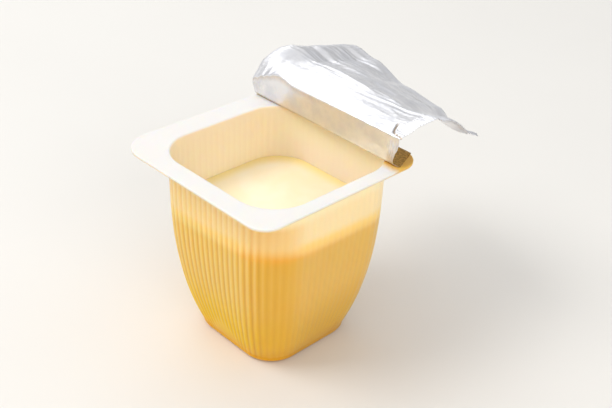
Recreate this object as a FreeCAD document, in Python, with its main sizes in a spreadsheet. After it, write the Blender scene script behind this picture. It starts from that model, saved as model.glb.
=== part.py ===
"""A single-serve yogurt pot with its foil lid peeled back, in millimetres.

The pot is thermoformed: a square mouth with a flat sealing rim, walls that drop
almost straight and then draw in to a small square foot. The yogurt fills it to a
little below the rim. The foil is still sealed along the back of the rim: it
stands up at the peel line and folds over backwards.

Frame: the origin is the centre of the foot's underside, +Z is up, +Y is towards
the sealed side of the lid, and the pot's flat sides face X and Y.
"""
import FreeCAD, Part
import math
import os
import PartDesign
import Sketcher

# Driving sizes: name, value in millimetres (angles in degrees), what it is.
SIZES = [
    ("pot_height", 61.3, "foot to the top of the rim"),
    ("mouth_side", 51.5, "inside of the square mouth"),
    ("mouth_corner", 12.4, "inside corner radius of the mouth"),
    ("foot_side", 36.0, "outside of the square foot"),
    ("foot_corner", 9.2, "outside corner radius of the foot"),
    ("foot_round", 1.2, "rounding between the foot and the walls"),
    ("wall_bulge", 3.1, "how late the walls draw in: 1 is a plain taper"),
    ("wall_gauge", 0.6, "thickness of the walls"),
    ("floor_gauge", 0.8, "thickness of the floor"),
    ("rim_gauge", 0.9, "thickness of the sealing rim"),
    ("rim_left", 8.4, "rim beyond the mouth, towards -X"),
    ("rim_right", 4.9, "rim beyond the mouth, towards +X"),
    ("rim_front", 6.8, "rim beyond the mouth, towards -Y"),
    ("rim_back", 4.4, "rim beyond the mouth, towards +Y"),
    ("rim_corner", 7.3, "outside corner radius of the rim at the back"),
    ("rim_corner_left", 10.0, "outside corner radius of the rim at the front left"),
    ("rim_corner_right", 6.0, "outside corner radius of the rim at the front right"),
    ("mouth_round", 0.7, "rounding where the rim turns down into the mouth"),
    ("fill_depth", 18.4, "rim's top down to the yogurt"),
    ("fill_clearance", 0.08, "gap between the yogurt and the walls"),
    ("foil_gauge", 0.3, "thickness of the foil lid"),
    ("foil_inset", 0.2, "foil's left edge in from the rim's"),
    ("foil_tear", 1.4, "foil's right edge in from the rim's"),
    ("peel_left", 4.6, "peel line in front of the mouth's back, at the left"),
    ("peel_right", 5.8, "peel line in front of the mouth's back, at the right"),
    ("riser_height", 9.6, "standing part of the foil"),
    ("riser_sag", 3.2, "how much lower the fold is at the left edge"),
    ("fold_round", 1.1, "bend radius at the peel line and at the fold"),
    ("tab_length", 0.8, "pull tab beyond the lid's corner"),
    ("tab_width", 11.0, "pull tab along the lid's edge"),
]

# Heights of the pot's cross-sections, as shares of the wall's height. They are
# closer together low down, where the walls draw in.
SECTION_SHARES = [0.0, 0.07, 0.16, 0.28, 0.44, 0.66, 1.0]

# Slope of the folded-back foil along its length, at six shares of its width
# from left to right: angle at the fold and at the free edge, and the shares of
# the length between which it turns from one to the other.
FOIL_SLOPES = [
    {"across": 0.00, "start": 54.0, "end": -13.5, "turn_from": 0.08, "turn_to": 0.39},
    {"across": 0.20, "start": 13.0, "end": -11.5, "turn_from": 0.00, "turn_to": 0.42},
    {"across": 0.45, "start": 8.5, "end": -23.0, "turn_from": 0.00, "turn_to": 0.72},
    {"across": 0.70, "start": 4.0, "end": -24.5, "turn_from": 0.05, "turn_to": 0.70},
    {"across": 0.85, "start": 2.0, "end": -33.5, "turn_from": 0.09, "turn_to": 0.68},
    {"across": 1.00, "start": 6.5, "end": -32.5, "turn_from": 0.12, "turn_to": 0.68},
]
FOIL_SECTIONS = 15
SHEET_STEPS = 14
SHEET = "Sizes"


def make_sizes(doc):
    """Put the driving sizes in a spreadsheet and return it."""
    sheet = doc.addObject("Spreadsheet::Sheet", SHEET)
    for row, (alias, value, meaning) in enumerate(SIZES, start=1):
        sheet.set("A%d" % row, alias)
        sheet.set("B%d" % row, str(value))
        sheet.set("C%d" % row, meaning)
        sheet.setAlias("B%d" % row, alias)
    doc.recompute()
    return sheet


def size(alias):
    """Name a driving size the way an expression reads it."""
    return "%s.%s" % (SHEET, alias)


def base_plane(body):
    """Return the body's own horizontal plane."""
    for feature in body.Origin.OriginFeatures:
        if feature.Role == "XY_Plane":
            return feature
    raise ValueError("the body has no XY plane")


def rounded_outline(body, name, level, span_x, span_y, corners, shift_x="0", shift_y="0"):
    """Sketch a rounded rectangle at a level; every size is an expression. The corners'
    radii go round from the front right to the front left."""
    sketch = body.newObject("Sketcher::SketchObject", name)
    sketch.AttachmentSupport = [(base_plane(body), "")]
    sketch.MapMode = "FlatFace"
    far, near, radius = 20.0, 15.0, 5.0
    points = [
        ((-near, -far), (near, -far)),
        ((far, -near), (far, near)),
        ((near, far), (-near, far)),
        ((-far, near), (-far, -near)),
    ]
    for start, end in points:
        line = Part.LineSegment(FreeCAD.Vector(*start, 0), FreeCAD.Vector(*end, 0))
        sketch.addGeometry(line, False)
    centres = [(near, -near, -90.0), (near, near, 0.0), (-near, near, 90.0), (-near, -near, 180.0)]
    for centre_x, centre_y, turn in centres:
        circle = Part.Circle(FreeCAD.Vector(centre_x, centre_y, 0), FreeCAD.Vector(0, 0, 1), radius)
        arc = Part.ArcOfCircle(circle, math.radians(turn), math.radians(turn + 90.0))
        sketch.addGeometry(arc, False)
    for side in range(4):
        direction = "Horizontal" if side % 2 == 0 else "Vertical"
        sketch.addConstraint(Sketcher.Constraint(direction, side))
        sketch.addConstraint(Sketcher.Constraint("Tangent", side, 2, side + 4, 1))
        sketch.addConstraint(Sketcher.Constraint("Tangent", side + 4, 2, (side + 1) % 4, 1))
    driven = [
        ("corner_%d" % number, Sketcher.Constraint("Radius", 4 + number, radius), corner)
        for number, corner in enumerate(corners)
    ]
    driven += [
        ("right", Sketcher.Constraint("DistanceX", -1, 1, 1, 1, far),
         "(%s) / 2 + %s" % (span_x, shift_x)),
        ("across", Sketcher.Constraint("DistanceX", 3, 1, 1, 1, 2 * far), span_x),
        ("back", Sketcher.Constraint("DistanceY", -1, 1, 2, 1, far),
         "(%s) / 2 + %s" % (span_y, shift_y)),
        ("deep", Sketcher.Constraint("DistanceY", 0, 1, 2, 1, 2 * far), span_y),
    ]
    for label, constraint, expression in driven:
        index = sketch.addConstraint(constraint)
        sketch.renameConstraint(index, label)
        sketch.setExpression("Constraints." + label, expression)
    sketch.setExpression("AttachmentOffset.Base.z", level)
    return sketch


def drawn_in(level, top_size, foot_size):
    """Expression for a size that grows from the foot to the mouth as the wall does."""
    share = "(1 - (1 - (%s) / %s) ^ %s)" % (level, size("pot_height"), size("wall_bulge"))
    return "%s + (%s - (%s)) * %s" % (foot_size, top_size, foot_size, share)


def wall_sections(body, name, bottom, inset):
    """Sketch the wall's cross-sections from a level up, all moved inwards by an inset."""
    sections = []
    for number, share in enumerate(SECTION_SHARES):
        level = "(%s) + (%s - (%s)) * %s" % (bottom, size("pot_height"), bottom, share)
        outside = "(%s + 2 * %s)" % (size("mouth_side"), size("wall_gauge"))
        corner_outside = "(%s + %s)" % (size("mouth_corner"), size("wall_gauge"))
        side = "%s - 2 * (%s)" % (drawn_in(level, outside, size("foot_side")), inset)
        corner = "%s - (%s)" % (drawn_in(level, corner_outside, size("foot_corner")), inset)
        sections.append(
            rounded_outline(body, "%s_%d" % (name, number), level, side, side, [corner] * 4))
    return sections


def loft(body, kind, name, sections):
    """Loft smoothly through the sections, adding to or cutting from the body."""
    feature = body.newObject(kind, name)
    feature.Profile = sections[0]
    feature.Sections = sections[1:]
    feature.Ruled = False
    return feature


def round_edges(body, name, edges_of, radius):
    """Fillet the edges of the body's tip that a test picks out."""
    tip = body.Tip
    picked = []
    for number, edge in enumerate(tip.Shape.Edges, start=1):
        if edges_of(edge.BoundBox):
            picked.append("Edge%d" % number)
    fillet = body.newObject("PartDesign::Fillet", name)
    fillet.Base = (tip, picked)
    fillet.setExpression("Radius", size(radius))
    return fillet


def make_cup(doc, sheet):
    """The thermoformed pot: lofted walls, a sealing rim and the hollow inside."""
    body = doc.addObject("PartDesign::Body", "Cup")
    body.Label = "cup"
    outside = wall_sections(body, "OuterSection", "0", "0")
    loft(body, "PartDesign::AdditiveLoft", "Walls", outside)
    doc.recompute()

    across = "%s + %s + %s" % (size("mouth_side"), size("rim_left"), size("rim_right"))
    deep = "%s + %s + %s" % (size("mouth_side"), size("rim_front"), size("rim_back"))
    shift_x = "(%s - %s) / 2" % (size("rim_right"), size("rim_left"))
    shift_y = "(%s - %s) / 2" % (size("rim_back"), size("rim_front"))
    level = "%s - %s" % (size("pot_height"), size("rim_gauge"))
    corners = [
        size("rim_corner_right"), size("rim_corner"), size("rim_corner"), size("rim_corner_left")]
    outline = rounded_outline(body, "RimOutline", level, across, deep, corners, shift_x, shift_y)
    rim = body.newObject("PartDesign::Pad", "Rim")
    rim.Profile = outline
    rim.setExpression("Length", size("rim_gauge"))
    doc.recompute()

    inside = wall_sections(body, "InnerSection", size("floor_gauge"), size("wall_gauge"))
    loft(body, "PartDesign::SubtractiveLoft", "Hollow", inside)
    doc.recompute()

    top = sheet.pot_height
    reach = sheet.mouth_side / 2 + 0.01

    def on_mouth(box):
        level_with_rim = box.ZMin > top - 0.01
        inside_mouth = max(-box.XMin, box.XMax, -box.YMin, box.YMax) < reach
        return level_with_rim and inside_mouth

    round_edges(body, "MouthRound", on_mouth, "mouth_round")
    doc.recompute()
    round_edges(body, "FootRound", lambda box: box.ZMax < 0.01, "foot_round")
    doc.recompute()
    return body


def make_yogurt(doc):
    """The yogurt: the pot's hollow up to the fill level, a hair clear of the walls."""
    body = doc.addObject("PartDesign::Body", "Yogurt")
    body.Label = "yogurt"
    inset = "%s + %s" % (size("wall_gauge"), size("fill_clearance"))
    sections = wall_sections(body, "FillSection", size("floor_gauge"), inset)
    loft(body, "PartDesign::AdditiveLoft", "Filling", sections)
    doc.recompute()
    level = "%s - %s" % (size("pot_height"), size("fill_depth"))
    wide = "%s + 2 * %s" % (size("mouth_side"), size("mouth_corner"))
    outline = rounded_outline(body, "HeadSpace", level, wide, wide, [size("mouth_corner")] * 4)
    head_space = body.newObject("PartDesign::Pocket", "AboveTheFill")
    head_space.Profile = outline
    head_space.Type = "Length"
    head_space.Reversed = True
    head_space.setExpression("Length", size("fill_depth") + " + 1")
    doc.recompute()
    return body


def smooth_step(share):
    """Ease from 0 to 1."""
    held = min(max(share, 0.0), 1.0)
    return held * held * (3.0 - 2.0 * held)


def mix(first, second, share):
    """Go from one value to another by a share."""
    return first + (second - first) * share


def corner_cut(radius, from_side):
    """How far a rounded corner cuts an edge back, at a distance from the side."""
    if from_side >= radius:
        return 0.0
    return radius - math.sqrt(radius ** 2 - (radius - from_side) ** 2)


def foil_slope(across, along):
    """Slope of the folded-back foil in degrees, at shares of its width and length."""
    angles = []
    for slope in FOIL_SLOPES:
        turned = (along - slope["turn_from"]) / (slope["turn_to"] - slope["turn_from"])
        angles.append(mix(slope["start"], slope["end"], smooth_step(turned)))
    angle = angles[0]
    for number in range(1, len(FOIL_SLOPES)):
        left = FOIL_SLOPES[number - 1]["across"]
        right = FOIL_SLOPES[number]["across"]
        if across > left:
            angle = mix(angles[number - 1], angles[number], smooth_step((across - left) / (right - left)))
    return angle


def foil_section(sheet, across):
    """Closed outline of the foil at a share of its width, from the sealed strip
    up the standing part and over to the free edge."""
    half_mouth = sheet.mouth_side / 2
    rim_left = -half_mouth - sheet.rim_left
    rim_right = half_mouth + sheet.rim_right
    rim_back = half_mouth + sheet.rim_back
    rim_deep = sheet.mouth_side + sheet.rim_front + sheet.rim_back
    place_x = mix(rim_left + sheet.foil_inset, rim_right - sheet.foil_tear, across)
    from_left = place_x - rim_left
    from_right = rim_right - place_x
    half_gauge = sheet.foil_gauge / 2
    bend = sheet.fold_round

    # The sealed strip ends at the rim's rounded corner on the left, and at a
    # diagonal that leaves the rim's corner bare on the right.
    peel_y = half_mouth - mix(sheet.peel_left, sheet.peel_right, across)
    back_y = rim_back - corner_cut(sheet.rim_corner, from_left)
    diagonal_y = peel_y + bend + 0.6 + 2.4 * (from_right - sheet.foil_tear)
    back_y = min(back_y, diagonal_y)

    # The free part is as long as the lid has left, with its rounded corners
    # and, on the right, the pull tab.
    length = rim_deep - (rim_back - peel_y) - sheet.riser_height
    length -= corner_cut(sheet.rim_corner, from_left)
    length -= corner_cut(sheet.rim_corner, from_right)
    length += sheet.tab_length * smooth_step(1.0 - (from_right - sheet.foil_tear) / sheet.tab_width)

    # Follow the middle of the foil as points with the direction at each point.
    seal_z = sheet.pot_height + half_gauge
    sag = sheet.riser_sag * math.exp(-from_left / sheet.rim_left * 2.0)
    riser = sheet.riser_height - sag - bend
    first_angle = foil_slope(across, 0.0)
    path = [(back_y, seal_z, 180.0), (peel_y + bend, seal_z, 180.0)]
    for turn in (30.0, 60.0, 90.0):
        angle = math.radians(turn)
        path.append((
            peel_y + bend - bend * math.sin(angle),
            seal_z + bend - bend * math.cos(angle),
            180.0 - turn))
    top_z = seal_z + riser
    path.append((peel_y, top_z, 90.0))
    steps = 4
    for step in range(1, steps + 1):
        heading = mix(90.0, first_angle, step / steps)
        turned = math.radians(90.0 - heading)
        path.append((
            peel_y + bend - bend * math.cos(turned),
            top_z + bend * math.sin(turned),
            heading))
    place_y, place_z, heading = path[-1]
    pace = length / SHEET_STEPS
    for step in range(SHEET_STEPS):
        middle = math.radians(foil_slope(across, (step + 0.5) / SHEET_STEPS))
        place_y += pace * math.cos(middle)
        place_z += pace * math.sin(middle)
        path.append((place_y, place_z, foil_slope(across, (step + 1.0) / SHEET_STEPS)))

    # Give the path its thickness: one side out, the other side back.
    outer = []
    inner = []
    for place_y, place_z, heading in path:
        angle = math.radians(heading)
        normal_y = -math.sin(angle) * half_gauge
        normal_z = math.cos(angle) * half_gauge
        outer.append(FreeCAD.Vector(place_x, place_y + normal_y, place_z + normal_z))
        inner.append(FreeCAD.Vector(place_x, place_y - normal_y, place_z - normal_z))
    outline = outer + inner[::-1]
    return Part.makePolygon(outline + outline[:1])


def make_lid_foil(doc, sheet):
    """The foil lid, ruled through cross-sections that are closer near its edges."""
    sections = []
    for number in range(FOIL_SECTIONS):
        across = 0.5 - 0.5 * math.cos(math.pi * number / (FOIL_SECTIONS - 1))
        sections.append(foil_section(sheet, across))
    lid = doc.addObject("Part::Feature", "LidFoil")
    lid.Label = "lid_foil"
    lid.Shape = Part.makeLoft(sections, True, True)
    lid.Placement = FreeCAD.Placement()
    return lid


def check_model(doc, parts):
    """Stop before anything is written if a feature failed or a shape is unsound."""
    for item in doc.Objects:
        if "Invalid" in item.State or "Error" in item.State:
            raise RuntimeError("%s did not compute: %s" % (item.Label, item.State))
    for part in parts:
        if part.Shape.isNull() or not part.Shape.isValid():
            raise RuntimeError("%s has no sound shape" % part.Label)
        if len(part.Shape.Solids) != 1:
            raise RuntimeError("%s is %d solids" % (part.Label, len(part.Shape.Solids)))


doc = FreeCAD.newDocument("YogurtPot")
sizes = make_sizes(doc)
cup = make_cup(doc, sizes)
yogurt = make_yogurt(doc)
lid_foil = make_lid_foil(doc, sizes)
doc.recompute()
nodes = [cup, yogurt, lid_foil]
check_model(doc, nodes)

os.makedirs("parts", exist_ok=True)
for node in nodes:
    node.Shape.exportStep("parts/%s.step" % node.Label)
    box = node.Shape.optimalBoundingBox()
    print("%-9s %9.1f mm3  x %.1f..%.1f  y %.1f..%.1f  z %.1f..%.1f" % (
        node.Label, node.Shape.Volume,
        box.XMin, box.XMax, box.YMin, box.YMax, box.ZMin, box.ZMax))
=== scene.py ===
import math

import bpy
from mathutils import Matrix, Vector, noise


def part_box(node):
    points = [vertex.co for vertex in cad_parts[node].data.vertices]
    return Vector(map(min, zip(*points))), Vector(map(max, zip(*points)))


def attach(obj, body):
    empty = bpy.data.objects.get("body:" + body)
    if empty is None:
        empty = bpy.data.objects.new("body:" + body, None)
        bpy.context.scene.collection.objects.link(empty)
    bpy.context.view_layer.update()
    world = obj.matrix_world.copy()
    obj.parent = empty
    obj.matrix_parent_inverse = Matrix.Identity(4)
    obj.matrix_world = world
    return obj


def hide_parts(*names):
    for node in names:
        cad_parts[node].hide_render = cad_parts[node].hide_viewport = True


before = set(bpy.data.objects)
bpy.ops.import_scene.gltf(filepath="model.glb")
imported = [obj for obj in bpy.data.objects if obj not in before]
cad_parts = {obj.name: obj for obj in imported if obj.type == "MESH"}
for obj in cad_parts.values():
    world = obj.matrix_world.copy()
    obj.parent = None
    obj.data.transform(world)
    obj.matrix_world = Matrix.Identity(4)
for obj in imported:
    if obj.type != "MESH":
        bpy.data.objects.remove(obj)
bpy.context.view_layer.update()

# ---------------------------------------------------------------------------
# Camera
# It looks down at the pot over the corner between its front and right sides,
# from a short arm's length, and is held a little tilted.
# ---------------------------------------------------------------------------
camera_azimuth = math.radians(45.17)
camera_elevation = math.radians(31.37)
camera_roll = math.radians(2.51)
camera_distance = 0.32425
camera_lens = 58.62
aim_across = 0.01074
aim_up = 0.03712

flat_right = Vector((math.cos(camera_azimuth), math.sin(camera_azimuth), 0.0))
towards_camera = Vector((
    math.sin(camera_azimuth) * math.cos(camera_elevation),
    -math.cos(camera_azimuth) * math.cos(camera_elevation),
    math.sin(camera_elevation)))
flat_up = towards_camera.cross(flat_right)
view_right = flat_right * math.cos(camera_roll) + flat_up * math.sin(camera_roll)
view_up = flat_up * math.cos(camera_roll) - flat_right * math.sin(camera_roll)
aim = view_right * aim_across + view_up * aim_up

bpy.ops.object.camera_add()
camera = bpy.context.object
camera.name = "camera"
turn = Matrix((view_right, view_up, towards_camera)).transposed().to_4x4()
camera.matrix_world = Matrix.Translation(aim + towards_camera * camera_distance) @ turn
camera.data.lens = camera_lens
camera.data.clip_start = 0.01
bpy.context.scene.camera = camera

# ---------------------------------------------------------------------------
# Cup
# The pot is one sheet of milky polystyrene, heated and drawn into a mould, so
# its wall, its fluting and its flat sealing rim are all one thin skin. The
# flutes run from under the rim down to the foot and draw together with it.
# ---------------------------------------------------------------------------
cup_low, cup_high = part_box("cup")
pot_height = cup_high.z
mouth_half = 0.02575
mouth_corner = 0.0124
foot_half = 0.0180
foot_corner = 0.0092
wall_bulge = 3.1
wall_gauge = 0.0006
floor_gauge = 0.0008
rim_gauge = 0.0009
rim_corner = 0.0073
rim_corners = (0.0073, 0.0073, 0.0100, 0.0060)
mouth_round = 0.0007
foot_round = 0.0013
flute_count = 80
flute_depth = 0.00009
flute_swell = 0.00019
flute_softness = 0.35
flute_sharpness = 1.25
flute_end_at_corner = -0.0010
flute_end_at_middle = 0.0070
flute_run_in = 0.0060
flute_run_out = 0.0030
flute_middle = 0.4
crisp_from = 0.75
crisp_over = 0.22
steps_per_flute = 7
wall_rings = 40
ring_crowding = 1.15
floor_centre = 0.001
edge_softening = 0.00022

# One side's straight run and one corner's arc, as shares of a quarter turn.
straight_run = 2.0 * (mouth_half - mouth_corner)
corner_run = mouth_corner * math.pi / 2.0
straight_share = straight_run / (straight_run + corner_run)


def outline(share, low, high, corners):
    """Point and outward direction on a rounded rectangle, at a share of the way round
    from its right side. Its corners' radii go round from the back right."""
    quarter, within = divmod(share * 4.0 % 4.0, 1.0)
    centre = (low + high) / 2.0
    half = (high - low) / 2.0
    corner = corners[int(quarter)]
    if int(quarter) % 2 == 1:
        half = Vector((half.y, half.x))
    if within < straight_share:
        start = corners[int(quarter) - 1] - half.y
        place = Vector((half.x, start + (half.y - corner - start) * within / straight_share))
        outward = Vector((1.0, 0.0))
    else:
        angle = (within - straight_share) / (1.0 - straight_share) * math.pi / 2.0
        outward = Vector((math.cos(angle), math.sin(angle)))
        place = Vector((half.x - corner, half.y - corner)) + outward * corner
    spin = Matrix.Rotation(int(quarter) * math.pi / 2.0, 2)
    return centre + spin @ place, spin @ outward


def ease(share):
    """Go smoothly from 0 to 1."""
    held = min(max(share, 0.0), 1.0)
    return held * held * (3.0 - 2.0 * held)


def mix(first, second, share):
    """Go from one value to another by a share."""
    return first + (second - first) * share


def hollow(level):
    """Half the width of the hollow and its corner radius, at a height."""
    drawn = 1.0 - (1.0 - min(level / pot_height, 1.0)) ** wall_bulge
    outside = foot_half + (mouth_half + wall_gauge - foot_half) * drawn
    return outside - wall_gauge, foot_corner + (mouth_corner - foot_corner) * drawn


def ringed_sheet(name, around, count):
    """A circle extruded upwards into rings a unit apart, ready to be drawn to shape."""
    bpy.ops.object.select_all(action="DESELECT")
    bpy.ops.mesh.primitive_circle_add(vertices=around, radius=1.0, fill_type="NOTHING")
    sheet = bpy.context.object
    sheet.name = name
    sheet.data.name = name
    bpy.ops.object.mode_set(mode="EDIT")
    bpy.ops.mesh.select_all(action="SELECT")
    for ring in range(count - 1):
        bpy.ops.mesh.extrude_region_move(TRANSFORM_OT_translate={"value": (0.0, 0.0, 1.0)})
    bpy.ops.object.mode_set(mode="OBJECT")
    return sheet


def close_ring(sheet, test):
    """Gather the picked vertices into one."""
    bpy.ops.object.mode_set(mode="EDIT")
    bpy.ops.mesh.select_mode(type="VERT")
    bpy.ops.mesh.select_all(action="DESELECT")
    bpy.ops.object.mode_set(mode="OBJECT")
    for vertex in sheet.data.vertices:
        vertex.select = test(vertex)
    bpy.ops.object.mode_set(mode="EDIT")
    bpy.ops.mesh.merge(type="CENTER")
    bpy.ops.object.mode_set(mode="OBJECT")


def turn_faces(inside):
    """Make all the faces of the sheet at hand point inwards or outwards."""
    bpy.ops.object.mode_set(mode="EDIT")
    bpy.ops.mesh.select_all(action="SELECT")
    bpy.ops.mesh.normals_make_consistent(inside=inside)
    bpy.ops.object.mode_set(mode="OBJECT")


# The rings of the skin, from the middle of the floor out to the rim's edge:
# which part of the pot each is on, and how far along that part.
cup_rings = [("floor", share) for share in (0.02, 0.35, 0.7, 0.9)]
cup_rings += [("heel", share) for share in (0.0, 0.25, 0.5, 0.75)]
cup_rings += [("wall", (ring / wall_rings) ** ring_crowding) for ring in range(wall_rings + 1)]
cup_rings += [("lip", share) for share in (0.2, 0.4, 0.6, 0.8, 1.0)]
cup_rings += [("rim", share) for share in (0.12, 0.4, 0.7, 0.93, 1.0)]

rim_low = Vector((cup_low.x, cup_low.y))
rim_high = Vector((cup_high.x, cup_high.y))
heel_top = floor_gauge + foot_round
wall_top = pot_height - mouth_round
cup = ringed_sheet("cup_skin", flute_count * steps_per_flute, len(cup_rings))
flat_gauges = {"floor": floor_gauge, "heel": floor_gauge, "rim": rim_gauge}
crests = []
thicknesses = []
for vertex in cup.data.vertices:
    part, along = cup_rings[round(vertex.co.z)]
    share = (math.atan2(vertex.co.y, vertex.co.x) / (2.0 * math.pi)) % 1.0
    crest = (0.5 + 0.5 * math.cos(2.0 * math.pi * flute_count * share)) ** flute_sharpness
    from_corner = 1.0 - abs(2.0 * min(share * 4.0 % 1.0 / straight_share, 1.0) - 1.0)
    relief = 0.0
    if part == "floor":
        level = floor_gauge
        half, corner = hollow(heel_top)
        half = (half - foot_round) * along
        corner = (corner - foot_round) * along
    elif part == "heel":
        angle = along * math.pi / 2.0
        level = floor_gauge + foot_round * (1.0 - math.cos(angle))
        half, corner = hollow(heel_top)
        half -= foot_round * (1.0 - math.sin(angle))
        corner -= foot_round * (1.0 - math.sin(angle))
    elif part == "wall":
        level = heel_top + (wall_top - heel_top) * along
        half, corner = hollow(level)
        flute_end = mix(flute_end_at_corner, flute_end_at_middle, ease(from_corner))
        relief = ease((level - flute_end) / flute_run_in) * ease((wall_top - level) / flute_run_out)
    else:
        angle = (along if part == "lip" else 1.0) * math.pi / 2.0
        level = wall_top + mouth_round * math.sin(angle)
        half, corner = hollow(wall_top)
        half += mouth_round * (1.0 - math.cos(angle))
        corner += mouth_round * (1.0 - math.cos(angle))
    place, outward = outline(share, Vector((-half, -half)), Vector((half, half)), [corner] * 4)
    # The flutes are crisp on the front and the left side, and soft round the corners
    # and on the other two sides.
    crisp = ease((max(-outward.y, -outward.x) - crisp_from) / crisp_over)
    relief *= mix(flute_softness, 1.0, crisp)
    swell = relief * (crest - flute_middle)
    place += outward * flute_depth * swell
    if part == "rim":
        edge = outline(share, rim_low, rim_high, rim_corners)[0]
        place = place.lerp(edge, along)
    vertex.co = (place.x, place.y, level)
    crests.append(mix(flute_middle, crest, relief))
    thicknesses.append(flat_gauges.get(part, wall_gauge + flute_swell * swell))
gauge = cup.vertex_groups.new(name="gauge")
for number, thickness in enumerate(thicknesses):
    gauge.add([number], thickness / rim_gauge, "REPLACE")
cup.data.attributes.new("flute", "FLOAT", "POINT").data.foreach_set("value", crests)

# Close the floor. The skin gets its thickness on its outside, once its two faces
# have their materials.
close_ring(cup, lambda vertex: vertex.co.xy.length < floor_centre)
turn_faces(inside=True)


def add_node(tree, kind, settings=None, **inputs):
    """Add a shader node, with its settings and its inputs' values or links."""
    node = tree.nodes.new(kind)
    for name, value in (settings or {}).items():
        setattr(node, name, value)
    for name, value in inputs.items():
        socket = int(name[1:]) if name[0] == "_" else name.replace("_", " ")
        target = node.inputs[socket]
        if isinstance(value, bpy.types.NodeSocket):
            tree.links.new(value, target)
        else:
            target.default_value = value
    return node


def maths(tree, operation, first, second=0.0, clamp=False):
    """The result of a sum on two values or sockets."""
    return add_node(tree, "ShaderNodeMath", {"operation": operation, "use_clamp": clamp},
                    _0=first, _1=second).outputs[0]


def blend_colour(tree, share, first, second):
    """Go from one colour to another by a share."""
    return add_node(tree, "ShaderNodeMix", {"data_type": "RGBA"},
                    _0=share, _6=first, _7=second).outputs[2]


def fade(tree, value, start, end, first=0.0, last=1.0):
    """A smooth change from first to last as a value goes from start to end."""
    return add_node(tree, "ShaderNodeMapRange", {"interpolation_type": "SMOOTHSTEP"},
                    _0=value, _1=start, _2=end, _3=first, _4=last).outputs[0]


def colour(red, green, blue):
    """The shader's own colour for one given as a screen shows it, from 0 to 255."""
    linear = []
    for part in (red, green, blue):
        shown = part / 255.0
        linear.append(shown / 12.92 if shown <= 0.04045 else ((shown + 0.055) / 1.055) ** 2.4)
    return (*linear, 1.0)


def object_axes(tree):
    """The place on the object, split into its three axes."""
    place = add_node(tree, "ShaderNodeTexCoord").outputs["Object"]
    return add_node(tree, "ShaderNodeSeparateXYZ", Vector=place).outputs


def attribute(tree, name):
    """A value that the mesh carries at its points."""
    return add_node(tree, "ShaderNodeAttribute", {"attribute_name": name}).outputs["Fac"]


def new_material(name):
    """An empty material with its shader; returns it, its tree, and its shader."""
    material = bpy.data.materials.new(name)
    material.use_nodes = True
    tree = material.node_tree
    return material, tree, tree.nodes["Principled BSDF"]


# Drawn plastic has a faint orange-peel and thin cloudy patches, the same on
# both of its faces.
cloudy = bpy.data.node_groups.new("drawn_plastic", "ShaderNodeTree")
cloudy.interface.new_socket("Cloud Size", in_out="INPUT", socket_type="NodeSocketFloat")
cloudy.interface.new_socket("Cloud", in_out="OUTPUT", socket_type="NodeSocketFloat")
cloudy.interface.new_socket("Sheen Map", in_out="OUTPUT", socket_type="NodeSocketFloat")
cloudy.interface.new_socket("Peel", in_out="OUTPUT", socket_type="NodeSocketFloat")
given = cloudy.nodes.new("NodeGroupInput")
result = cloudy.nodes.new("NodeGroupOutput")
where = cloudy.nodes.new("ShaderNodeTexCoord").outputs["Object"]
patches = add_node(cloudy, "ShaderNodeTexNoise", Vector=where, Scale=given.outputs[0], Detail=3.0)
peel = add_node(cloudy, "ShaderNodeTexNoise", Vector=where, Scale=1400.0, Detail=2.0)
cloudy.links.new(fade(cloudy, patches.outputs[0], 0.3, 0.7), result.inputs["Cloud"])
cloudy.links.new(fade(cloudy, patches.outputs[0], 0.3, 0.7, 0.30, 0.40), result.inputs["Sheen Map"])
cloudy.links.new(peel.outputs[0], result.inputs["Peel"])


# Seen through the wall, the fill's edge climbs towards the front corner, and a
# little more along the right side.
fill_edge = 0.0433
corner_climb = 0.0046
corner_climb_start = 0.005
corner_climb_run = 0.043
corner_climb_power = 1.9
right_climb = 0.0017
right_climb_span = (0.006, 0.042)
# The tints come in between two heights, or two distances below the fill's edge.
fill_blur = (-0.0012, 0.0034)
edge_light_above = (-0.0030, -0.0002)
edge_light_below = (0.0002, 0.0030)
edge_light_at_edge = 0.6
edge_light_at_corner = 0.15
low_span = (0.030, 0.008)
foot_span = (0.008, 0.0005)
inner_fill_span = (0.0560, 0.0450)
top_light_span = (pot_height - 0.0080, pot_height - 0.0046)
top_light_depth = 0.8
rim_shadow_span = (pot_height - 0.0010, pot_height - 0.0009)
# Painted shade darkens the wall in a band down the front corner, this far round to each side.
front_corner_shade_span = (0.42, 0.12)
front_corner_shade_depth = 0.55
least_corner_way = 0.012
# Its tints go from the left and the front to the right and the back, and the change is painted light:
# outside, the right is lighter above the fill and darker below it; inside, the back is lighter to offset
# the standing foil's shade.
side_span = (-0.012, 0.016)
# Painted light on the flutes: grooves take painted shade and crests a painted highlight, less so on the
# right and above the fill.
groove_shade_span = (0.45, 0.0)
crest_light_span = (0.40, 1.0)
flute_right_span = (0.2, 1.0)
flute_right_share = 0.24
flute_fill_span = (-0.003, 0.003)
flute_above_fill = 0.45
# The foil has left the rim's back right corner bare; there the rim takes a painted tan shade with a
# yellow reflection.
rim_corner_shade_across = (0.0225, 0.0245)
rim_corner_shade_deep = (0.0165, 0.0205)
# The white of the rim comes in between two depths under its top.
white_outside = (0.0008, 0.0002)
white_inside = (0.0004, 0.00005)
cloud_size = 90.0
cloud_depth = 0.03
plastic_scatter = 0.0016


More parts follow.
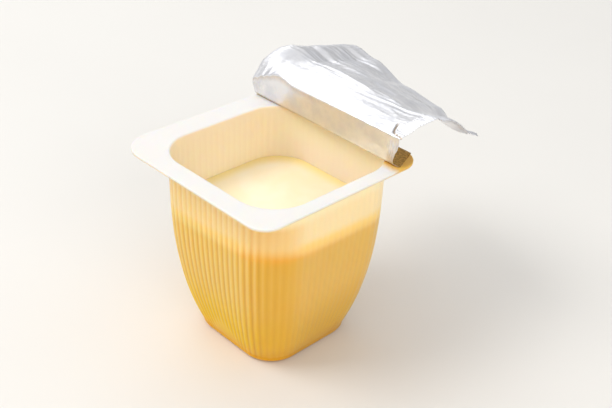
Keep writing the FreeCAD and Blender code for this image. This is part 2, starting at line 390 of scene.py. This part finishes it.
def filled_wall(tree, axes, side, shade, flute_strength):
    """The wall's tint with the fill behind it and its painted light and shade, the painted highlight
    tint of its crests, and how strong its flutes' painted shade and highlights are.
    """
    corner_way = maths(tree, "SUBTRACT", axes[0], axes[1])
    right_way = maths(tree, "ADD", axes[0], axes[1])
    past_start = maths(tree, "SUBTRACT", corner_way, corner_climb_start)
    reach = maths(tree, "DIVIDE", past_start, corner_climb_run, clamp=True)
    climb = maths(tree, "MULTIPLY", maths(tree, "POWER", reach, corner_climb_power), corner_climb)
    climb = maths(tree, "ADD", climb, fade(tree, right_way, *right_climb_span, 0.0, right_climb))
    below = maths(tree, "SUBTRACT", maths(tree, "ADD", climb, fill_edge), axes[2])
    # Below the fill the wall shows the fill through it, with a painted yellow reflection that deepens to
    # orange towards the foot, and painted shade that darkens the right side.
    body = blend_colour(tree, side, colour(249, 191, 84), colour(242, 184, 88))
    low = blend_colour(tree, side, colour(255, 195, 0), colour(224, 171, 54))
    foot = blend_colour(tree, side, colour(247, 174, 0), colour(210, 155, 50))
    low_share = fade(tree, axes[2], *low_span)
    deep = blend_colour(tree, low_share, body, low)
    deep = blend_colour(tree, fade(tree, axes[2], *foot_span), deep, foot)
    corner_way = maths(tree, "MAXIMUM", corner_way, least_corner_way)
    round_corner = maths(tree, "ABSOLUTE", maths(tree, "DIVIDE", right_way, corner_way))
    # Painted shade: a darker, deeper tint in a band down the front corner.
    band = fade(tree, round_corner, *front_corner_shade_span, 0.0, front_corner_shade_depth)
    deep = blend_colour(tree, band, deep, colour(235, 167, 12))
    shade = blend_colour(tree, band, shade, colour(230, 189, 106))
    filled_share = fade(tree, below, *fill_blur)
    shade = blend_colour(tree, filled_share, shade, deep)
    # Painted light: a bright line runs along the fill's edge, fainter at the front corner.
    painted_edge_light = maths(tree, "MULTIPLY", fade(tree, below, *edge_light_above),
                 fade(tree, below, *edge_light_below, edge_light_at_edge, 0.0))
    corner_share = fade(tree, band, 0.0, front_corner_shade_depth, 1.0, edge_light_at_corner)
    painted_edge_light = maths(tree, "MULTIPLY", painted_edge_light, corner_share)
    shade = blend_colour(tree, painted_edge_light, shade, colour(254, 206, 92))
    crest_light_tint = blend_colour(tree, low_share, colour(255, 226, 156), colour(255, 208, 0))
    crest_light_tint = blend_colour(tree, filled_share, colour(255, 238, 200), crest_light_tint)
    right_strength = flute_strength * flute_right_share
    depth = fade(tree, side, *flute_right_span, flute_strength, right_strength)
    depth = maths(tree, "MULTIPLY", depth, fade(tree, below, *flute_fill_span, flute_above_fill, 1.0))
    return shade, crest_light_tint, depth


def milky_plastic(name, wall_tints, flute_strength, filled):
    """Milky plastic: white at the rim, and tinted down the wall by what is behind it and by painted
    light and shade.
    """
    material, tree, shader = new_material(name)
    axes = object_axes(tree)
    skin = add_node(tree, "ShaderNodeGroup", {"node_tree": cloudy}, Cloud_Size=cloud_size)
    ridge = attribute(tree, "flute")
    side = fade(tree, maths(tree, "ADD", axes[0], axes[1]), *side_span)
    shade = blend_colour(tree, side, *wall_tints)
    if filled:
        shade, crest_light_tint, depth = filled_wall(tree, axes, side, shade, flute_strength)
    else:
        # Painted shade: near the fill the inside is less yellow, and darker at the back, offsetting the
        # yellow light that the fill throws on the wall.
        fill_tint = blend_colour(tree, side, colour(246, 229, 206), colour(238, 222, 208))
        shade = blend_colour(tree, fade(tree, axes[2], *inner_fill_span), shade, fill_tint)
        crest_light_tint = colour(255, 240, 208)
        depth = flute_strength
    # Painted shade in the grooves and painted highlights on the crests.
    painted_groove_shade = maths(tree, "MULTIPLY", fade(tree, ridge, *groove_shade_span), depth)
    shade = blend_colour(tree, painted_groove_shade, shade, colour(200, 122, 36))
    painted_crest_light = maths(tree, "MULTIPLY", fade(tree, ridge, *crest_light_span), depth)
    shade = blend_colour(tree, painted_crest_light, shade, crest_light_tint)
    cloud = maths(tree, "MULTIPLY", skin.outputs["Cloud"], cloud_depth)
    shade = blend_colour(tree, cloud, shade, colour(255, 228, 150))
    # The rim is white on top. Under its edge it takes a painted tan shadow, and in the corner that the
    # foil has left bare a painted tan shade with a yellow reflection.
    if filled:
        # Painted light: the wall just under the rim is lightened against the shade that the rim casts.
        painted_top_light = fade(tree, axes[2], *top_light_span, 0.0, top_light_depth)
        shade = blend_colour(tree, painted_top_light, shade, colour(255, 236, 200))
        # Painted shadow under the rim's edge.
        under = fade(tree, axes[2], *rim_shadow_span)
        shade = blend_colour(tree, under, shade, colour(232, 204, 160))
    # Painted shade with a yellow reflection on the bare back right corner of the rim.
    rim_corner_shade = maths(tree, "MULTIPLY", fade(tree, axes[0], *rim_corner_shade_across), fade(tree, axes[1], *rim_corner_shade_deep))
    rim_tint = blend_colour(tree, rim_corner_shade, colour(223, 223, 222), colour(222, 180, 84))
    white_from, white_to = white_outside if filled else white_inside
    rim_white = fade(tree, axes[2], pot_height - white_from, pot_height - white_to)
    tree.links.new(blend_colour(tree, rim_white, shade, rim_tint), shader.inputs["Base Color"])
    tree.links.new(skin.outputs["Sheen Map"], shader.inputs["Roughness"])
    bump = add_node(tree, "ShaderNodeBump", Height=skin.outputs["Peel"], Strength=0.15, Distance=0.00004)
    tree.links.new(bump.outputs[0], shader.inputs["Normal"])
    shader.inputs["IOR"].default_value = 1.5
    shader.inputs["Specular IOR Level"].default_value = 0.35
    shader.inputs["Subsurface Weight"].default_value = 0.7
    shader.inputs["Subsurface Radius"].default_value = (1.0, 0.7, 0.4)
    shader.inputs["Subsurface Scale"].default_value = plastic_scatter
    return material


# Each pair runs from the left and front to the right and back; the lighter right and back tints hold
# painted light.
inside_tints = (colour(243, 224, 198), colour(255, 235, 209))
outside_tints = (colour(251, 213, 146), colour(255, 223, 178))
inside_face = milky_plastic("milky_plastic_inside", inside_tints, flute_strength=0.03, filled=False)
outside_face = milky_plastic("milky_plastic_outside", outside_tints, flute_strength=0.30, filled=True)
cup.data.materials.append(outside_face)
cup.data.materials.append(inside_face)

skin = cup.modifiers.new("skin", "SOLIDIFY")
skin.thickness = rim_gauge
skin.vertex_group = "gauge"
skin.use_even_offset = True
skin.offset = 1.0
skin.material_offset = 1
bpy.ops.object.modifier_apply(modifier="skin")
soften = cup.modifiers.new("soften", "BEVEL")
soften.width = edge_softening
soften.segments = 3
soften.limit_method = "ANGLE"
soften.angle_limit = math.radians(60.0)
bpy.ops.object.modifier_apply(modifier="soften")
bpy.ops.object.shade_smooth()
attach(cup, "root")
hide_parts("cup")

# ---------------------------------------------------------------------------
# Yogurt
# A smooth set yogurt, poured in warm: its top is almost flat and creeps up a
# little where it meets the wall. Its sides reach just into the plastic.
# ---------------------------------------------------------------------------
fill_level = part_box("yogurt")[1].z
wall_reach = 0.00028
meniscus_rise = 0.0003
meniscus_width = 0.0014
floor_reach = 0.0002
top_unevenness = 0.00012
top_patches = 110.0
level_edge = 0.004
yogurt_around = 240
yogurt_side_rings = 24
yogurt_centre = 0.0012
yogurt_rings = [("top", share) for share in
                (0.02, 0.12, 0.24, 0.36, 0.48, 0.58, 0.67, 0.75, 0.81, 0.86, 0.90, 0.93, 0.95,
                 0.965, 0.98, 0.99, 1.0)]
yogurt_rings += [("side", ring / yogurt_side_rings) for ring in range(1, yogurt_side_rings + 1)]
yogurt_rings += [("under", share) for share in (0.9, 0.6, 0.3, 0.02)]
yogurt = ringed_sheet("yogurt_fill", yogurt_around, len(yogurt_rings))
edge_shares = []
side_low = floor_gauge - floor_reach
for vertex in yogurt.data.vertices:
    part, along = yogurt_rings[round(vertex.co.z)]
    share = (math.atan2(vertex.co.y, vertex.co.x) / (2.0 * math.pi)) % 1.0
    if part == "side":
        level = fill_level + meniscus_rise + (side_low - fill_level - meniscus_rise) * along
        scale = 1.0
    else:
        level = fill_level if part == "top" else side_low
        scale = along
    half, corner = hollow(level)
    half = (half + wall_reach) * scale
    corner = (corner + wall_reach) * scale
    place = outline(share, Vector((-half, -half)), Vector((half, half)), [corner] * 4)[0]
    if part == "top":
        from_wall = (1.0 - along) * half / max(along, 0.02)
        level += meniscus_rise * math.exp(-max(from_wall - wall_reach, 0.0) / meniscus_width)
        patch = noise.noise(Vector((place.x, place.y, 0.0)) * top_patches)
        level += top_unevenness * patch * ease(from_wall / level_edge)
    vertex.co = (place.x, place.y, level)
    edge_shares.append(along if part == "top" else 1.0)
yogurt.data.attributes.new("edge", "FLOAT", "POINT").data.foreach_set("value", edge_shares)
middle = fill_level / 2.0
close_ring(yogurt, lambda vertex: vertex.co.xy.length < yogurt_centre and vertex.co.z > middle)
close_ring(yogurt, lambda vertex: vertex.co.xy.length < yogurt_centre and vertex.co.z < middle)
turn_faces(inside=False)
bpy.ops.object.shade_smooth()

material, tree, shader = new_material("vanilla_yogurt")
place = add_node(tree, "ShaderNodeTexCoord").outputs["Object"]
# Painted shade and light: towards the wall the yogurt is warmer and darker, shaded by the wall and lit
# warm through it.
painted_wall_shade_and_light = fade(tree, attribute(tree, "edge"), 0.80, 1.0)
swirl = add_node(tree, "ShaderNodeTexNoise", Vector=place,
                 Scale=70.0, Detail=3.0, Distortion=0.6).outputs[0]
cream = blend_colour(tree, fade(tree, swirl, 0.35, 0.65), colour(255, 245, 218), colour(255, 241, 208))
cream = blend_colour(tree, painted_wall_shade_and_light, cream, colour(255, 232, 158))
tree.links.new(cream, shader.inputs["Base Color"])
tree.links.new(fade(tree, swirl, 0.3, 0.7, 0.30, 0.42), shader.inputs["Roughness"])
grain = add_node(tree, "ShaderNodeTexNoise", Vector=place, Scale=900.0, Detail=4.0).outputs[0]
bump = add_node(tree, "ShaderNodeBump", Height=grain, Strength=0.2, Distance=0.00005)
tree.links.new(bump.outputs[0], shader.inputs["Normal"])
shader.inputs["Subsurface Weight"].default_value = 0.3
shader.inputs["Subsurface Radius"].default_value = (1.0, 0.75, 0.4)
shader.inputs["Subsurface Scale"].default_value = 0.0015
yogurt.data.materials.append(material)
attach(yogurt, "root")
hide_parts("yogurt")

# ---------------------------------------------------------------------------
# Lid foil
# Thin lacquered aluminium, heat-sealed round the rim. It has been peeled from
# the front: it stands up at the peel line and is folded over backwards, with
# the crimped band that was sealed now round its free edges.
# ---------------------------------------------------------------------------
foil_gauge = 0.00008
foil_inset = 0.0002
foil_tear = 0.0014
peel_left = 0.0046
peel_right = 0.0058
riser_height = 0.0096
riser_sag = 0.0032
riser_sag_width = 0.0042
strip_end = 0.0006
strip_slant = 2.4
peel_round = 0.0011
fold_round = 0.0004
tab_length = 0.0008
tab_width = 0.0110
foil_columns = 232
edge_crowding = 0.5
row_crowding = 1.25
# Slope of the folded-back foil: at six shares of its width, the angle at the
# fold and at the free edge, and the shares of the length it turns between.
foil_slopes = [
    (0.00, 54.0, -13.5, 0.08, 0.39),
    (0.20, 13.0, -11.5, 0.00, 0.42),
    (0.45, 8.5, -23.0, 0.00, 0.72),
    (0.70, 4.0, -24.5, 0.05, 0.70),
    (0.85, 2.0, -33.5, 0.09, 0.68),
    (1.00, 6.5, -32.5, 0.12, 0.68),
]
rim_left = cup_low.x
rim_right = cup_high.x
rim_back = cup_high.y
rim_deep = cup_high.y - cup_low.y
foil_parts = [("strip", 12), ("peel", 5), ("riser", 22), ("fold", 7)]
sheet_rows = 120


def corner_cut(radius, from_side):
    """How far a rounded corner cuts an edge back, at a distance from the side."""
    if from_side >= radius:
        return 0.0
    return radius - math.sqrt(radius ** 2 - (radius - max(from_side, 0.0)) ** 2)


def foil_slope(across, along):
    """Slope of the folded-back foil in degrees, at shares of its width and length."""
    angle = None
    for place, start, end, turn_from, turn_to in foil_slopes:
        here = mix(start, end, ease((along - turn_from) / (turn_to - turn_from)))
        if angle is None:
            angle = here
        elif across > last_place:
            angle = mix(last_angle, here, ease((across - last_place) / (place - last_place)))
        last_place, last_angle = place, here
    return angle


def foil_line(across):
    """The foil's section at a share of its width: (y, z, heading, part, share along it)."""
    place_x = mix(rim_left + foil_inset, rim_right - foil_tear, across)
    from_left = place_x - rim_left
    from_right = rim_right - place_x
    peel_y = mouth_half - mix(peel_left, peel_right, across)
    back_y = rim_back - corner_cut(rim_corner, from_left)
    back_y = min(back_y, peel_y + peel_round + strip_end + strip_slant * (from_right - foil_tear))
    length = rim_deep - (rim_back - peel_y) - riser_height
    length -= corner_cut(rim_corner, from_left) + corner_cut(rim_corner, from_right)
    length += tab_length * ease(1.0 - (from_right - foil_tear) / tab_width)
    seal_z = pot_height + foil_gauge
    riser = riser_height - riser_sag * math.exp(-from_left / riser_sag_width) - fold_round
    first_angle = foil_slope(across, 0.0)
    line = []
    for part, count in foil_parts:
        for step in range(count):
            share = step / count
            if part == "strip":
                line.append((mix(back_y, peel_y + peel_round, share), seal_z, 180.0, part, share))
            elif part == "peel":
                turned = math.radians(90.0 * share)
                place_y = peel_y + peel_round * (1.0 - math.sin(turned))
                place_z = seal_z + peel_round * (1.0 - math.cos(turned))
                line.append((place_y, place_z, 180.0 - 90.0 * share, part, share))
            elif part == "riser":
                line.append((peel_y, seal_z + mix(peel_round, riser, share), 90.0, part, share))
            elif part == "fold":
                heading = mix(90.0, first_angle, share)
                turned = math.radians(90.0 - heading)
                place_y = peel_y + fold_round * (1.0 - math.cos(turned))
                place_z = seal_z + riser + fold_round * math.sin(turned)
                line.append((place_y, place_z, heading, part, share))
    turned = math.radians(90.0 - first_angle)
    place_y = peel_y + fold_round * (1.0 - math.cos(turned))
    place_z = seal_z + riser + fold_round * math.sin(turned)
    shares = [(step / sheet_rows) ** row_crowding for step in range(sheet_rows + 1)]
    for share, after in zip(shares, shares[1:] + [1.0]):
        line.append((place_y, place_z, foil_slope(across, share), "sheet", share))
        middle = math.radians(foil_slope(across, (share + after) / 2.0))
        place_y += (after - share) * length * math.cos(middle)
        place_z += (after - share) * length * math.sin(middle)
    return place_x, length, line


foil_rows = sum(count for part, count in foil_parts) + sheet_rows + 1
bpy.ops.object.select_all(action="DESELECT")
bpy.ops.mesh.primitive_grid_add(x_subdivisions=foil_columns, y_subdivisions=foil_rows - 1, size=2.0)
foil = bpy.context.object
foil.name = "lid_foil_sheet"
foil.data.name = "lid_foil_sheet"

# How far creases lift the sheet, beside the fold and farther out.
loose_run = 0.004
far_start = 0.004
far_run = 0.014
crease_lifts = (0.00006, 0.00044)
crinkle_lifts = (0.00004, 0.00024)
billow_lifts = (0.00012, 0.00040)
crumple_lift = 0.00006
crease_drift = 0.0014
# Two long ridges follow the fold: where they are, how high, and how wide.
inner_ridge = (0.0155, 0.00075, 0.0045)
outer_ridge = (0.0270, 0.00040, 0.0025)
ridge_waver = 0.0018
ridge_start = 0.016
# The sealed band round the sheet, and the ribs that the sealing tool left in it.
band_width = 0.0036
band_edge = 0.0012
rib_pitch = 0.0012
riser_rib_pitch = 0.0010
rib_depths = (0.00036, 0.00007)
rib_fading = 0.02
band_ruffle = 0.00045
# The fold humps up and bulges out at its left end, the free right corner is
# drawn out, and the standing part leans in at its torn right end.
rise_run = 0.006
bulge_depth = 0.0014
bulge_width = 0.005
bulge_run = 0.008
pinch_depth = 0.0022
pinch_width = 0.004
lean_depth = 0.0018
lean_width = 0.003
# Painted shade: the foil takes a brown shade with a yellow reflection on the sealed strip, less of it up
# the peel, and in the split.
peel_shade = 0.15
split_shade = 0.85
# A ragged split runs in from the torn end.
split_reach = 0.008
split_straight = 0.0034
split_slope = 0.22
split_width = 0.00042
split_depth = 0.0006


def uneven(across, along, pattern):
    """A smooth uneven value from -1 to 1. The factor on a place is how many patches there
    are to a metre, and each pattern number gives another pattern."""
    return noise.noise(Vector((across, along, pattern)))


def creases(place_x, run, from_left):
    """Lift of the sheet by long creases that lie along the fold, finer crinkles between
    them, a broad unevenness, a fine crumple, and the two long ridges."""
    loose = ease(run / loose_run)
    far = ease((run - far_start) / far_run)
    drifted = run + crease_drift * uneven(place_x * 60.0, run * 60.0, 1.0)
    crease = 0.4 - abs(uneven(place_x * 13.0, drifted * 165.0 + place_x * 12.0, 3.0)) * 1.9
    crinkle = 0.4 - abs(uneven(place_x * 55.0, drifted * 400.0 - place_x * 40.0, 9.0)) * 1.8
    billow = uneven(place_x * 42.0, run * 60.0, 21.0)
    crumple = uneven(place_x * 700.0, run * 900.0, 4.0)
    lift = loose * (mix(*crease_lifts, far) * crease + mix(*crinkle_lifts, far) * crinkle
                    + mix(*billow_lifts, far) * billow + crumple_lift * crumple)
    waver = ridge_waver * uneven(place_x * 70.0, 0.0, 30.0)
    ridge = inner_ridge[1] * math.exp(-abs(run - inner_ridge[0] - waver) / inner_ridge[2])
    ridge += outer_ridge[1] * math.exp(-abs(run - outer_ridge[0] + waver) / outer_ridge[2])
    return lift + loose * ridge * ease(from_left / ridge_start)


def ribs(place_x, run, from_left, from_right, band, end_band):
    """Lift of the sealed band by its ribs, across the sides and along the free edge."""
    loose = ease(run / loose_run)
    wobble = 2.2 * uneven(run * 420.0, place_x * 300.0, 2.0)
    depth = mix(*rib_depths, ease(from_right / rib_fading))
    depth *= 0.55 + 0.9 * uneven(run * 150.0, place_x * 150.0, 11.0)
    across = depth * loose * band * math.sin(run / rib_pitch * 2.0 * math.pi + wobble)
    along = depth * end_band * (1.0 - band)
    along *= math.sin(place_x / rib_pitch * 2.0 * math.pi + wobble)
    ruffle = band_ruffle * loose * band * uneven(run * 170.0, from_left * 20.0, 7.0)
    return across + along + ruffle


def riser_creases(place_x, share, band):
    """Lift of the standing part by its upright creases, and by the ribs at its ends."""
    stand = math.sin(math.pi * share)
    lift = 0.00026 * stand * uneven(place_x * 150.0, share * 1.4, 5.0)
    lift += 0.00012 * stand * band * math.sin(place_x / riser_rib_pitch * 2.0 * math.pi + 3.0 * share)
    return lift + 0.00040 * stand * band * uneven(place_x * 500.0, share * 5.0, 6.0)


def fold_rise(place_x, from_left):
    """The fold is scalloped at its left end and humps up where it leaves the rim."""
    scallop = 0.00030 * math.exp(-from_left / 0.006) * math.sin(from_left / 0.0027 * 2.0 * math.pi)
    scallop += 0.00016 * uneven(place_x * 320.0, 0.0, 12.0)
    hump = 0.0015 * math.exp(-((from_left - 0.0115) / 0.0045) ** 2)
    return hump - 0.0011 * math.exp(-from_left / 0.0040) + scallop


def ragged_sides(share, run, from_left, from_right):
    """Sideways shift of the two side edges, which are not cut straight."""
    ragged = 0.00050 * uneven(run * 260.0 + share, 0.0, 8.0)
    return ragged * (math.exp(-from_left / 0.002) - math.exp(-from_right / 0.002))


def left_bulge(from_left, from_fold):
    """How far the fold bulges out at its left end."""
    return bulge_depth * math.exp(-from_left / bulge_width) * math.exp(-(from_fold / bulge_run) ** 2)


def tip_pinch(from_right, from_end):
    """How far the side is drawn in behind the thin tip of the free right corner."""
    drawn = ease(from_end / 0.003) * ease((0.012 - from_end) / 0.005)
    return pinch_depth * math.exp(-from_right / pinch_width) * drawn


def torn_lean(from_right):
    """How far the standing part leans in at its torn right end."""
    return lean_depth * math.exp(-from_right / lean_width)


def split_share(run, from_right):
    """How much a place is in the split: 1 in its middle, 0 beyond its lips."""
    if from_right >= split_reach:
        return 0.0
    inwards = max(from_right - split_straight, 0.0) / 0.001
    split_run = 0.0003 + split_slope * from_right + 0.0009 * inwards ** 1.5
    split_run += 0.0004 * uneven(from_right * 900.0, 0.0, 14.0)
    apart = abs(run - split_run) / math.hypot(1.0, split_slope + 1.35 * math.sqrt(inwards))
    return ease(1.0 - apart / split_width) * ease((0.0066 - run) / 0.002)


def riser_shade(place_x, share, from_left, from_right):
    """How much painted shade the standing part takes: a little all over, which stands for its reflection
    of the plastic, mostly under the fold on the left, and at the foot of its torn right end."""
    torn_end = ease(1.0 - (from_right - 0.0030) / 0.0015)
    under_fold = 0.30 * ease((share - 0.72) / 0.25) * ease(1.0 - (from_left - 0.020) / 0.02)
    streak = 0.14 * uneven(place_x * 1100.0, share * 2.0, 16.0)
    torn_shade = mix(0.42, 0.03, ease(share / 0.65)) + streak * (1.0 - 0.7 * share)
    return max(mix(0.07 + under_fold, torn_shade, torn_end), 0.0)


border_shares = []
shade_shares = []
lines = []
for column in range(foil_columns + 1):
    evenly = column / foil_columns
    crowding = edge_crowding * math.sin(2.0 * math.pi * evenly) / (2.0 * math.pi)
    lines.append(foil_line(evenly - crowding))
for vertex in foil.data.vertices:
    column = round((vertex.co.x + 1.0) / 2.0 * foil_columns)
    row = round((vertex.co.y + 1.0) / 2.0 * (foil_rows - 1))
    place_x, length, line = lines[column]
    place_y, place_z, heading, part, share = line[row]
    from_left = place_x - rim_left - foil_inset
    from_right = rim_right - foil_tear - place_x
    band = ease(1.0 - (min(from_left, from_right) - band_width) / band_edge)
    border = 0.0
    lift = 0.0
    rise = 0.0
    shift_x = 0.0
    shade = 0.0
    if part == "strip":
        shade = 1.0
    elif part == "peel":
        shift_x = -torn_lean(from_right) * ease(share)
        shade = mix(1.0, peel_shade, share)
    elif part == "riser":
        border = band
        lift = riser_creases(place_x, share, band)
        rise = fold_rise(place_x, from_left) * ease(share)
        shift_x = ragged_sides(share, 0.0, from_left, from_right)
        shift_x -= left_bulge(from_left, (1.0 - share) * riser_height)
        shift_x -= torn_lean(from_right) * (1.0 - ease(share))
        shade = riser_shade(place_x, share, from_left, from_right)
    elif part == "fold":
        rise = fold_rise(place_x, from_left)
        shift_x = -left_bulge(from_left, 0.0)
    else:
        run = share * length
        from_end = length - run
        end_band = ease(1.0 - (from_end - band_width) / band_edge)
        border = max(band, end_band)
        split = split_share(run, from_right)
        lift = creases(place_x, run, from_left) * (1.0 - 0.3 * band)
        lift += ribs(place_x, run, from_left, from_right, band, end_band)
        lift -= split_depth * split
        rise = fold_rise(place_x, from_left) * math.exp(-run / rise_run)
        shift_x = ragged_sides(share, run, from_left, from_right)
        shift_x -= left_bulge(from_left, run) + tip_pinch(from_right, from_end)
        shade = split_shade * split
    angle = math.radians(heading)
    vertex.co = (place_x + shift_x, place_y - math.sin(angle) * lift,
                 place_z + math.cos(angle) * lift + rise)
    border_shares.append(border)
    shade_shares.append(shade)
foil.data.attributes.new("border", "FLOAT", "POINT").data.foreach_set("value", border_shares)
foil.data.attributes.new("shaded", "FLOAT", "POINT").data.foreach_set("value", shade_shares)

turn_faces(inside=False)
thin = foil.modifiers.new("thin", "SOLIDIFY")
thin.thickness = foil_gauge
thin.offset = 0.0
bpy.ops.object.modifier_apply(modifier="thin")
bpy.ops.object.shade_smooth()

material, tree, shader = new_material("lid_foil")
place = add_node(tree, "ShaderNodeTexCoord").outputs["Object"]
band = attribute(tree, "border")
scuff = add_node(tree, "ShaderNodeTexNoise", Vector=place, Scale=220.0, Detail=4.0).outputs[0]
shaded = attribute(tree, "shaded")
silver = blend_colour(tree, fade(tree, scuff, 0.35, 0.7), colour(241, 241, 244), colour(229, 230, 235))
speck = add_node(tree, "ShaderNodeTexNoise", Vector=place, Scale=1500.0, Detail=2.0).outputs[0]
# Painted shade: a speckled brown with a yellow reflection, where the foil is marked as shaded.
painted_brown_shade = blend_colour(tree, fade(tree, speck, 0.4, 0.6), colour(190, 148, 66), colour(152, 114, 44))
silver = blend_colour(tree, shaded, silver, painted_brown_shade)
tree.links.new(silver, shader.inputs["Base Color"])
dulled = maths(tree, "MULTIPLY", band, 0.08)
dullness = maths(tree, "ADD", fade(tree, scuff, 0.3, 0.7, 0.30, 0.42), dulled)
tree.links.new(dullness, shader.inputs["Roughness"])
fine = add_node(tree, "ShaderNodeTexVoronoi", Vector=place, Scale=520.0).outputs[0]
bump = add_node(tree, "ShaderNodeBump", Height=fine, Strength=0.35, Distance=0.00006)
tree.links.new(bump.outputs[0], shader.inputs["Normal"])
shader.inputs["Metallic"].default_value = 0.9
foil.data.materials.append(material)
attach(foil, "root")
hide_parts("lid_foil")

# ---------------------------------------------------------------------------
# Floor and light
# A plain pale table top under three large soft lamps: the key high at the front
# left, a weak one high at the back left, and a fill low on the right. The surround
# is white, brightest at the horizon, and brighter overhead than between the two.
# ---------------------------------------------------------------------------
bpy.ops.object.select_all(action="DESELECT")
bpy.ops.mesh.primitive_plane_add(size=6.0, location=(0.0, 0.0, 0.0))
floor = bpy.context.object
floor.name = "floor"
material, tree, shader = new_material("floor_pale")
place = add_node(tree, "ShaderNodeTexCoord").outputs["Object"]
mottle = add_node(tree, "ShaderNodeTexNoise", Vector=place, Scale=9.0, Detail=3.0).outputs[0]
pale = blend_colour(tree, mottle, colour(230, 228, 224), colour(226, 224, 220))
tree.links.new(pale, shader.inputs["Base Color"])
shader.inputs["Roughness"].default_value = 0.7
floor.data.materials.append(material)

lamp_target = Vector((0.0, 0.0, 0.04))
horizon_span = (0.02, 0.14)
overhead_span = (0.38, 0.66)


def soft_lamp(name, direction, distance, width, power, tint):
    """A square area lamp that faces the pot."""
    bpy.ops.object.light_add(type="AREA")
    lamp = bpy.context.object
    lamp.name = name
    lamp.data.shape = "SQUARE"
    lamp.data.size = width
    lamp.data.energy = power
    lamp.data.color = tint
    way = Vector(direction).normalized()
    facing = way.to_track_quat("Z", "Y").to_matrix().to_4x4()
    lamp.matrix_world = Matrix.Translation(way * distance + lamp_target) @ facing


soft_lamp("key_lamp", direction=(-0.42, -0.56, 0.88), distance=1.2, width=0.6,
          power=6.8, tint=(1.0, 0.99, 0.97))
soft_lamp("high_lamp", direction=(-0.62, 0.36, 0.70), distance=1.2, width=0.9,
          power=2.5, tint=(1.0, 1.0, 1.0))
soft_lamp("fill_lamp", direction=(0.85, -0.20, 0.40), distance=1.4, width=0.9,
          power=5.7, tint=(1.0, 0.99, 0.98))

world = bpy.data.worlds.new("studio")
bpy.context.scene.world = world
world.use_nodes = True
tree = world.node_tree
background = tree.nodes["Background"]
background.inputs["Color"].default_value = (1.0, 1.0, 1.0, 1.0)
around = add_node(tree, "ShaderNodeTexCoord").outputs["Generated"]
way_up = add_node(tree, "ShaderNodeSeparateXYZ", Vector=around).outputs[2]
lower = fade(tree, way_up, *horizon_span, 1.00, 0.40)
upper = fade(tree, way_up, *overhead_span, 0.0, 0.38)
tree.links.new(maths(tree, "ADD", lower, upper), background.inputs["Strength"])
bpy.context.scene.view_settings.view_transform = "Standard"
